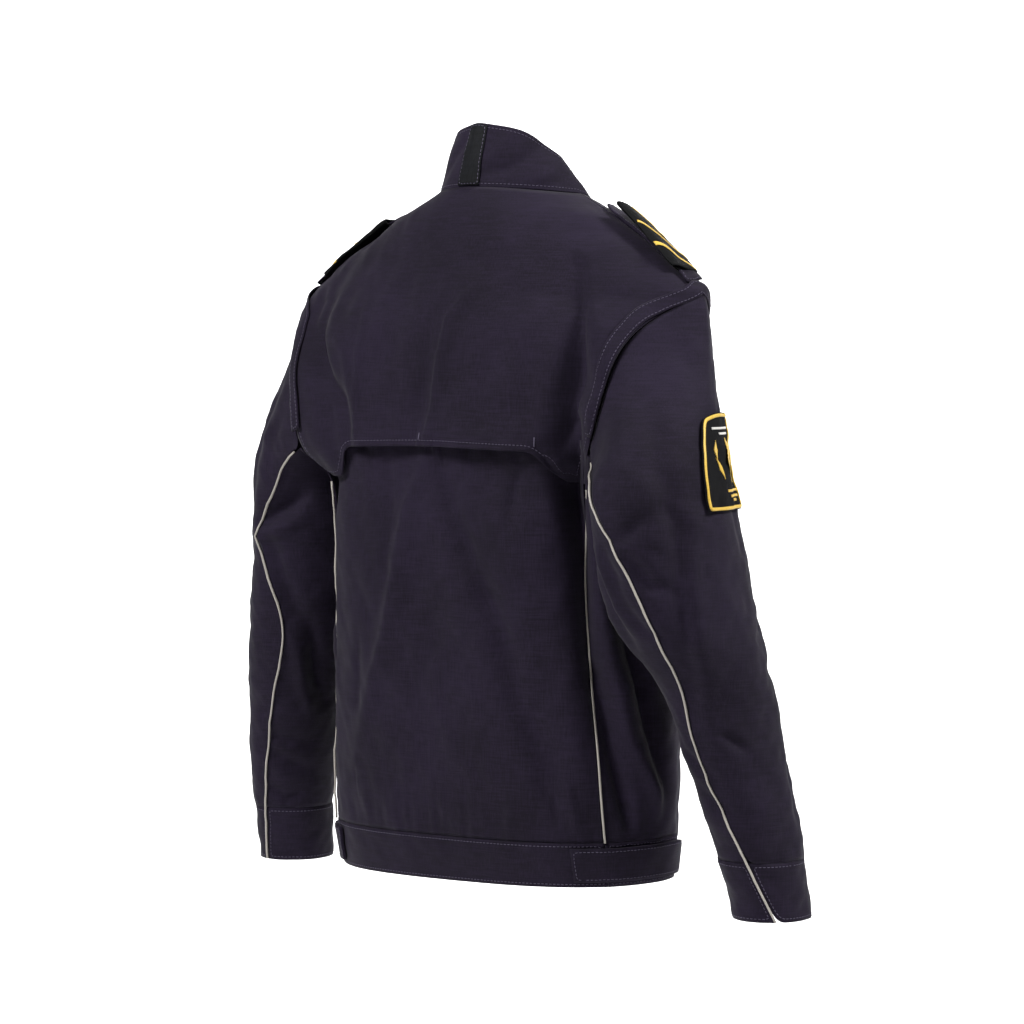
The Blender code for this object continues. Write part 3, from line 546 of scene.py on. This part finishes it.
SLEEVE_PANELS = (
    # (node without its side, subdivision, width of the cut, length of the cut, flat area)
    ("upper_sleeve_", 3, 0.300, 0.560, 0.120),
    ("under_sleeve_", 3, 0.200, 0.440, 0.062),
    ("cuff_", 3, 0.245, 0.057, None),
)
sleeve_moves = {side: sleeve_move(side) for side in SIDES}
for side in SIDES:
    for stem, levels, width, length, area in SLEEVE_PANELS:
        node = stem + side
        cloth[node] = cut_piece(node, levels, sleeve_moves[side], twill)
        cloth[node]

# The armhole's edge, turned back over the sleeve head, and the shoulder straps. Both are
# strips of the same twill that lie on the body's panels.
STRAP_BEND = 5.0
STRAP_BEND_LENGTH = 20


def strap_move(points):
    """The straps bend down at their outer ends, where they are sewn in at the armhole."""
    moved = body_move(points)
    out = np.abs(points[:, 0])
    moved[:, 2] -= STRAP_BEND * np.clip(1 - (out.max() - out) / STRAP_BEND_LENGTH, 0, 1) ** 2
    return moved


for side in SIDES:
    for stem, move, flat in (("armhole_welt_", body_move, (0.013, 0.420)),
                             ("epaulette_", strap_move, (0.044, 0.145))):
        cloth[stem + side] = cut_piece(stem + side, 2, move, twill)
        cloth[stem + side]
        cloth["back_yoke"]

# The shoulder slides: stiff black cloth sleeves over the straps, smooth and slightly shiny.
# They stay flat where the shoulder falls away, so their back edges stand off it.
SLIDE_COLOURS = ("040405", "0B0B0D")
SLIDE_YARNS_PER_M = 1100
SLIDE_TILT = {"left": 0.04, "right": 0.32}
SLIDE_HINGE = 8


def flat_axes(points):
    """A strip's middle, and its short and long directions as seen from above."""
    middle = (points.min(axis=0) + points.max(axis=0)) / 2
    spread = (points - points.mean(axis=0))[:, :2]
    _, axes = np.linalg.eigh(spread.T @ spread)
    return middle, axes[:, 0], axes[:, 1]


def slide_move(points, side):
    """How far a slide moves: with the shoulder, and up behind the hinge it tilts on."""
    middle, short_way, _ = flat_axes(points)
    away = (points[:, :2] - middle[:2]) @ (short_way * np.sign(short_way[1]))
    moved = body_move(points)
    moved[:, 2] += SLIDE_TILT[side] * np.clip(away + SLIDE_HINGE, 0, None)
    return moved


slide_cloth = woven_material("black_slide_cloth", SLIDE_COLOURS, roughness=0.7, sheen=0.0,
                             yarns_per_m=SLIDE_YARNS_PER_M, bump=0.4)
for side in SIDES:
    node = "shoulder_slide_" + side
    cloth[node] = cut_piece(node, 2, lambda points, side=side: slide_move(points, side),
                            slide_cloth)
    cloth[node]
    cloth["epaulette_" + side]

# The sleeve patch: a woven badge on the wearer's right sleeve. Its black ground is a close,
# flat weave, duller than the slides.
PATCH_COLOURS = ("08080A", "111114")
PATCH_YARNS_PER_M = 1300
patch_ground = woven_material("black_badge_cloth", PATCH_COLOURS, roughness=0.8, sheen=0.0,
                              yarns_per_m=PATCH_YARNS_PER_M, bump=0.6)
cloth["sleeve_patch"] = cut_piece("sleeve_patch", 3, sleeve_moves["right"], patch_ground)
cloth["sleeve_patch"]
cloth["upper_sleeve_right"]

# The piping: cord covered in reflective cloth whose tiny glass beads give a grey-beige satin
# look, sewn into the back seams of the body and sleeves. The beads are drawn 0.5 mm apart,
# because the real ones are too fine to show.
PIPING_COLOURS = ("8E8880", "B5B0A8")
BEADS_PER_M = 2200.0
GRAIN_RELIEF_M = 0.0002
GRAIN_ENDS = (0.3, 0.7)


def grained_material(name, colours, roughness, specular, grains_per_m, bump):
    """A cord or thread whose fine beads or strands vary its colour and catch the light."""
    material, tree, shader = new_material(name, roughness, 0.0, specular)
    place = add_node(tree, "ShaderNodeTexCoord").outputs["Object"]
    grains = add_node(tree, "ShaderNodeTexNoise", {"Scale": grains_per_m, "Detail": 2.0},
                      {"Vector": place})
    colour_and_relief(tree, shader, grains.outputs["Fac"], colours, GRAIN_ENDS,
                      grains.outputs["Fac"], bump, GRAIN_RELIEF_M)
    return material


piping_cloth = grained_material("glass_bead_piping", PIPING_COLOURS, roughness=0.45,
                                specular=0.6, grains_per_m=BEADS_PER_M, bump=0.3)
for side in SIDES:
    for stem, move in (("body_piping_", body_move), ("sleeve_piping_", sleeve_moves[side])):
        cut_piece(stem + side, 2, move, piping_cloth)

# Topstitching: rows of lockstitches in a slightly lighter navy thread, a set distance in from
# the sewn edges. Each stitch is a short bead of thread that lies half sunk in the cloth.
# The thread's strands give it a soft highlight along the stitch.
STRANDS_PER_M = 1800.0
THREAD_SPECULAR = 0.3
THREAD_BUMP = 0.5
STITCH_LENGTH = 3.0
STITCH_PITCH = 3.9
STITCH_RINGS = (0.2, 0.8)
MARKS_PER_STITCH = 3
THREAD_WIDTH = 0.75
THREAD_HEIGHT = 0.4
THREAD_SINK = 0.25
OUTER_FACING = 0.4
EDGE_STEPS = (0.0, 0.33, 0.67)
SHORTEST_LINE = 8
FLAP_TOP = -226
FLAP_TURN = 66


def edge_lines(piece, outward, distance):
    """Lines on the cloth's outside at one distance from its edge, as points and normals."""
    mesh = piece.data
    points = read_points(mesh)
    middles = np.array([face.center for face in mesh.polygons]) / MM
    normals = np.array([face.normal for face in mesh.polygons])
    facing = (normals * outward(middles)).sum(axis=1)
    outer = [face for face, share in zip(mesh.polygons, facing) if share > OUTER_FACING]
    uses = Counter(key for face in outer for key in face.edge_keys)
    border = [points[a] * (1 - part) + points[b] * part for (a, b), count in uses.items()
              if count == 1 for part in EDGE_STEPS]
    tree = point_tree(border)
    inside = {v: tree.find(points[v])[2] - distance for face in outer for v in face.vertices}
    links = defaultdict(list)
    for face in outer:
        first, *rest = face.vertices
        for second, third in zip(rest, rest[1:]):
            sides = ((first, second), (second, third), (third, first))
            cuts = [(min(side), max(side)) for side in sides
                    if (inside[side[0]] > 0) != (inside[side[1]] > 0)]
            if len(cuts) == 2:
                links[cuts[0]].append(cuts[1])
                links[cuts[1]].append(cuts[0])

    def crossing(key):
        """The point and normal where an edge of the mesh meets the line."""
        a, b = key
        share = inside[a] / (inside[a] - inside[b])
        normal = mesh.vertices[a].normal.lerp(mesh.vertices[b].normal, share)
        return (*(points[a] + (points[b] - points[a]) * share), *normal.normalized())

    lines = []
    done = set()
    open_ends = [key for key, others in links.items() if len(others) == 1]
    for start in open_ends + list(links):
        if start in done:
            continue
        line = [start]
        done.add(start)
        while True:
            following = [key for key in links[line[-1]] if key not in done]
            if not following:
                break
            line.append(following[0])
            done.add(following[0])
        if len(line) > SHORTEST_LINE:
            lines.append(np.array([crossing(key) for key in line]))
    return lines


def along_line(line, step):
    """Points and normals at even steps along a line."""
    lengths = np.linalg.norm(np.diff(line[:, :3], axis=0), axis=1)
    marks = np.concatenate([[0.0], np.cumsum(lengths)])
    places = np.arange(0.0, marks[-1], step)
    return np.stack([np.interp(places, marks, line[:, i]) for i in range(6)], axis=1)


def add_stitch(builder, start, end):
    """A thread bead between two points of a line: a ring near each end, closed to a tip."""
    first, last = Vector(start[:3]), Vector(end[:3])
    up = (Vector(start[3:]) + Vector(end[3:])).normalized()
    side = (last - first).cross(up).normalized() * THREAD_WIDTH / 2
    rings = []
    for share in STITCH_RINGS:
        middle = first.lerp(last, share)
        ring = (middle + side, middle + up * THREAD_HEIGHT, middle - side,
                middle - up * THREAD_SINK)
        rings.append([builder.verts.new(place * MM) for place in ring])
    tips = [builder.verts.new(place * MM) for place in (first, last)]
    for i in range(4):
        after = (i + 1) % 4
        builder.faces.new((rings[0][i], rings[0][after], rings[1][after], rings[1][i]))
        builder.faces.new((tips[0], rings[0][after], rings[0][i]))
        builder.faces.new((tips[1], rings[1][i], rings[1][after]))


def add_piece(name, builder, material):
    """Turns built faces outwards and makes them a piece that rides on the jacket."""
    bmesh.ops.recalc_face_normals(builder, faces=builder.faces[:])
    mesh = bpy.data.meshes.new(name)
    builder.to_mesh(mesh)
    builder.free()
    mesh.shade_smooth()
    mesh.materials.append(material)
    piece = bpy.data.objects.new(name, mesh)
    bpy.context.scene.collection.objects.link(piece)
    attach(piece, "root")
    return piece


def thread_material(name, colours, roughness):
    """Lustrous sewing thread: fine streaks along the stitch and a soft highlight."""
    return grained_material(name, colours, roughness, THREAD_SPECULAR, STRANDS_PER_M, THREAD_BUMP)


def round_neck(points):
    """Outward directions on the collar."""
    return unit(points * (1.0, 1.0, 0.0))


def sleeve_outward(side):
    """A function for the outward directions on one sleeve."""
    return lambda points: sleeve_frame(points, side)[0]


def on_flap(place):
    """Whether a place is at the lower edge of the yoke's flap, which is stitched all along."""
    turn = math.degrees(math.atan2(place[0], place[1] - BODY_CENTRE_Y))
    return place[2] < FLAP_TOP and abs(turn) < FLAP_TURN


STITCH_ROWS = [
    # (piece, outward directions, distance from the edge, where the row runs)
    ("back_yoke", body_out, 6.0, on_flap),
    ("band_back", body_out, 3.2, None),
    ("placket", body_out, 6.0, None),
    ("collar", round_neck, 4.0, None),
    ("collar_tape", round_neck, 1.6, None),
]
for side in SIDES:
    for stem, distance in (("armhole_welt_", 2.4), ("band_front_", 3.2), ("tab_", 3.0),
                           ("epaulette_", 3.0)):
        STITCH_ROWS.append((stem + side, body_out, distance, None))
    STITCH_ROWS.append(("cuff_" + side, sleeve_outward(side), 3.5, None))
stitches = bmesh.new()
for name, outward, distance, where in STITCH_ROWS:
    for line in edge_lines(cloth[name], outward, distance):
        marks = along_line(line, STITCH_LENGTH / MARKS_PER_STITCH)
        step = round(STITCH_PITCH / (STITCH_LENGTH / MARKS_PER_STITCH))
        for start in range(0, len(marks) - MARKS_PER_STITCH, step):
            if where is None or where(marks[start]):
                add_stitch(stitches, marks[start], marks[start + MARKS_PER_STITCH])
navy_thread = thread_material("navy_lockstitch_thread", ("3A3546", "575164"), roughness=0.6)
add_piece("topstitching", stitches, navy_thread)

# The bar tacks: short bands of navy satin stitch that hold down the ends of the yoke's flap.
# Satin stitch is raised thread, so each band has a low rounded section, half sunk in the cloth.
TACK_WIDTH = 1.6
TACK_HEIGHT = 0.6
TACK_REACH = 400
SATIN_STEP = 1.2
BAND_SECTION = (
    # (share of the width, share of the height), round the section
    (-0.5, 0.0), (-0.36, 0.7), (0.0, 1.0), (0.36, 0.7), (0.5, 0.0), (0.0, -0.4),
)
BODY_TACKS = (
    # (piece, direction in degrees, top, bottom)
    ("back_yoke", -46.5, -242, -251), ("back_yoke", 3.5, -240, -246.5),
)


def add_band(builder, line, widths, height, closed=False):
    """A low rounded band along points and normals; widths has one value for each point."""
    count = len(line)
    places = [Vector(row[:3]) for row in line]
    rings = []
    for i, row in enumerate(line):
        before = places[(i - 1) % count] if closed or i else places[0]
        after = places[(i + 1) % count] if closed or i < count - 1 else places[-1]
        up = Vector(row[3:]).normalized()
        side = (after - before).cross(up).normalized()
        rings.append([builder.verts.new((places[i] + side * widths[i] * across
                                         + up * height * rise) * MM)
                      for across, rise in BAND_SECTION])
    size = len(BAND_SECTION)
    for i in range(count if closed else count - 1):
        ring, following = rings[i], rings[(i + 1) % count]
        for k in range(size):
            after = (k + 1) % size
            builder.faces.new((ring[k], ring[after], following[after], following[k]))
    if not closed:
        builder.faces.new(rings[0])
        builder.faces.new(rings[-1][::-1])


def surface_tree(piece):
    """The piece's mesh as a tree for finding the places where straight lines meet it."""
    mesh = piece.data
    return BVHTree.FromPolygons([v.co for v in mesh.vertices],
                                [tuple(face.vertices) for face in mesh.polygons])


def project(tree, places, way):
    """Points and normals where lines from the places, along one direction, meet a piece."""
    rows = []
    for place in places:
        hit, normal, _, _ = tree.ray_cast(Vector(place) * MM, way)
        if hit is not None:
            rows.append((*(hit / MM), *normal))
    return np.array(rows)


def straight(start, end):
    """Places at nearly even steps from a start to an end."""
    count = max(3, round(math.dist(start, end) / SATIN_STEP))
    return [tuple(a + (b - a) * i / count for a, b in zip(start, end)) for i in range(count + 1)]


tacks = bmesh.new()
for name, turn, top, bottom in BODY_TACKS:
    ray = Vector((math.sin(math.radians(turn)), math.cos(math.radians(turn)), 0.0))
    start = ray * TACK_REACH + Vector((0.0, BODY_CENTRE_Y, 0.0))
    places = straight((start.x, start.y, top), (start.x, start.y, bottom))
    line = project(surface_tree(cloth[name]), places, -ray)
    add_band(tacks, line, [TACK_WIDTH] * len(line), TACK_HEIGHT)
add_piece("bar_tacks", tacks, navy_thread)

# The gold bars: three across each slide, evenly worked in glossy gold thread, a generic rank
# design. The one next to the arm is wider.
gold_thread = thread_material("gold_satin_thread", ("B8933A", "E8C456"), roughness=0.4)
SLIDE_BARS = (
    # (place along the slide from its middle, width)
    (-26, 4.0), (7, 4.0), (31, 6.0),
)
BAR_REACH = 26.0
BAR_HEIGHT = 0.7
ABOVE_SHOULDER_Z = 100.0
bars = bmesh.new()
for side in SIDES:
    slide = cloth["shoulder_slide_" + side]
    middle, short_way, long_way = flat_axes(read_points(slide.data))
    lengthwise = long_way * np.sign(long_way[0]) * SIDES[side]
    tree = surface_tree(slide)
    for place, width in SLIDE_BARS:
        ends = [(*(middle[:2] + lengthwise * place + short_way * reach), ABOVE_SHOULDER_Z)
                for reach in (-BAR_REACH, BAR_REACH)]
        line = project(tree, straight(*ends), Vector((0.0, 0.0, -1.0)))
        add_band(bars, line, [width] * len(line), BAR_HEIGHT)
add_piece("slide_bars", bars, gold_thread)

# The patch's work: a merrowed gold border and a generic design, a lozenge between leaves with
# plain bars above and below, all in raised satin stitch.
white_thread = thread_material("white_satin_thread", ("B9B7B2", "E6E4DF"), roughness=0.45)
blue_thread = thread_material("blue_satin_thread", ("1D3F7A", "2F5FA8"), roughness=0.45)
BORDER_INSET = 2.6
BORDER_WIDTH = 3.4
BORDER_HEIGHT = 1.1
BORDER_STEP = 1.5
MOTIF_HEIGHT = 0.7
MOTIF_TIP = 0.06
OFF_PATCH = 40
MOTIFS = (
    # (colour, start and end from the patch's middle as (forwards, up), width, tapered)
    ("gold", (0, -20), (0, 22), 30, True),
    ("blue", (0, -12), (0, 14), 17, True),
    ("gold", (22, -16), (27, 4), 6, True),
    ("gold", (26, 2), (20, 20), 5, True),
    ("gold", (-22, -16), (-27, 4), 6, True),
    ("gold", (-26, 2), (-20, 20), 5, True),
    ("white", (-18, 31), (18, 31), 2.4, False),
    ("white", (-11, 26), (11, 26), 2.4, False),
    ("gold", (-20, -27), (20, -27), 2.6, False),
    ("gold", (-14, -32), (14, -32), 2.6, False),
    ("gold", (-8, -36), (8, -36), 2.6, False),
)
patch = cloth["sleeve_patch"]
patch_points = read_points(patch.data)
patch_middle = (patch_points.min(axis=0) + patch_points.max(axis=0)) / 2
patch_way = Vector(sleeve_frame(patch_middle[None, :], "right")[0][0])
patch_across = Vector((0.0, 0.0, 1.0)).cross(patch_way).normalized()
patch_up = patch_way.cross(patch_across)
patch_tree = surface_tree(patch)
work = {"gold": bmesh.new(), "white": bmesh.new(), "blue": bmesh.new()}
for line in edge_lines(patch, sleeve_outward("right"), BORDER_INSET):
    marks = along_line(line, BORDER_STEP)
    add_band(work["gold"], marks, [BORDER_WIDTH] * len(marks), BORDER_HEIGHT, closed=True)
for colour, start, end, width, tapered in MOTIFS:
    places = [Vector(patch_middle) + patch_across * a + patch_up * b + patch_way * OFF_PATCH
              for a, b in straight(start, end)]
    line = project(patch_tree, places, -patch_way)
    shares = np.linspace(0, 1, len(line))
    spread = 1 - np.abs(2 * shares - 1) if tapered else np.ones(len(line))
    add_band(work[colour], line, width * np.maximum(spread, MOTIF_TIP), MOTIF_HEIGHT)
for colour, material in (("gold", gold_thread), ("white", white_thread), ("blue", blue_thread)):
    add_piece(f"patch_{colour}_work", work[colour], material)

# The studio's backdrop: pale matt paper that lies flat as a floor far past the jacket, then
# curves up to a wall. It is turned so that it faces the camera.
FLOOR_Z_M = -1.45
BACKDROP_HALF_WIDTH_M = 9.0
BACKDROP_TURN = math.radians(40)
BACKDROP_PROFILE_M = (
    # (distance behind the jacket, height above the floor)
    (-7.0, 0.0), (4.0, 0.0), (4.9, 0.25), (5.4, 0.9), (5.6, 2.0), (5.6, 6.5),
)
builder = bmesh.new()
rows = [[builder.verts.new((x, -depth, FLOOR_Z_M + height))
         for x in (-BACKDROP_HALF_WIDTH_M, BACKDROP_HALF_WIDTH_M)]
        for depth, height in BACKDROP_PROFILE_M]
for below, above in zip(rows, rows[1:]):
    builder.faces.new((below[0], below[1], above[1], above[0]))
backdrop_mesh = bpy.data.meshes.new("studio_backdrop")
builder.to_mesh(backdrop_mesh)
builder.free()
backdrop_mesh.shade_smooth()
paper, _, paper_shader = new_material("pale_paper", roughness=0.9)
paper_shader.inputs["Base Color"].default_value = linear("F4F4F4")
backdrop_mesh.materials.append(paper)
backdrop = bpy.data.objects.new("studio_backdrop", backdrop_mesh)
backdrop.rotation_euler = (0.0, 0.0, BACKDROP_TURN)
bpy.context.scene.collection.objects.link(backdrop)

# The camera looks at the jacket's back from the wearer's right, a little from above.
CAMERA_TURN = math.radians(220)
CAMERA_BACK = Vector((math.sin(CAMERA_TURN), -math.cos(CAMERA_TURN), 0.0))
CAMERA_RIGHT = Vector((math.cos(CAMERA_TURN), math.sin(CAMERA_TURN), 0.0))
CAMERA_DISTANCE_M = 3.5
CAMERA_Z_M = -0.150
CAMERA_LENS = 123.0
TARGET_Z_M = -0.322
SIDE_SHIFT_M = -0.008


def aim(thing, place, target):
    """Puts a camera or light at a place and turns it to a target."""
    thing.location = place
    thing.rotation_euler = (Vector(target) - Vector(place)).to_track_quat("-Z", "Y").to_euler()


camera_data = bpy.data.cameras.new("photo_camera")
camera_data.lens = CAMERA_LENS
camera_data.sensor_width = 36.0
camera_data.clip_end = 50.0
camera = bpy.data.objects.new("photo_camera", camera_data)
bpy.context.scene.collection.objects.link(camera)
side_shift = CAMERA_RIGHT * SIDE_SHIFT_M
aim(camera, CAMERA_BACK * CAMERA_DISTANCE_M + side_shift + Vector((0.0, 0.0, CAMERA_Z_M)),
    side_shift + Vector((0.0, 0.0, TARGET_Z_M)))
bpy.context.scene.camera = camera

# The light: soft round lights high on the left and on the right, a weak one overhead, one that
# whitens the backdrop, and a dim even surround. Metres and watts.
LIGHTS = (
    # (name, to the camera's right, up, towards the camera, diameter, power, target's distance)
    ("left_softbox", -2.1, 1.9, 1.7, 1.2, 142, 0.0),
    ("right_softbox", 2.6, 1.9, 0.8, 1.2, 150, 0.0),
    ("top_softbox", 0.0, 2.7, 0.8, 1.4, 10, 0.0),
    ("backdrop_light", 0.0, 1.8, -2.6, 2.5, 260, -5.6),
)
LIGHT_TARGET_Z_M = -0.35
SURROUND_STRENGTH = 0.1
for name, right, up, back, size, power, target_back in LIGHTS:
    light_data = bpy.data.lights.new(name, "AREA")
    light_data.shape = "DISK"
    light_data.size = size
    light_data.energy = power
    light = bpy.data.objects.new(name, light_data)
    bpy.context.scene.collection.objects.link(light)
    aim(light, CAMERA_RIGHT * right + CAMERA_BACK * back + Vector((0.0, 0.0, up)),
        CAMERA_BACK * target_back + Vector((0.0, 0.0, LIGHT_TARGET_Z_M)))
world = bpy.data.worlds.new("pale_surround")
world.use_nodes = True
surround = world.node_tree.nodes["Background"]
surround.inputs["Color"].default_value = (1.0, 1.0, 1.0, 1.0)
surround.inputs["Strength"].default_value = SURROUND_STRENGTH
bpy.context.scene.world = world
bpy.context.scene.view_settings.view_transform = "Standard"
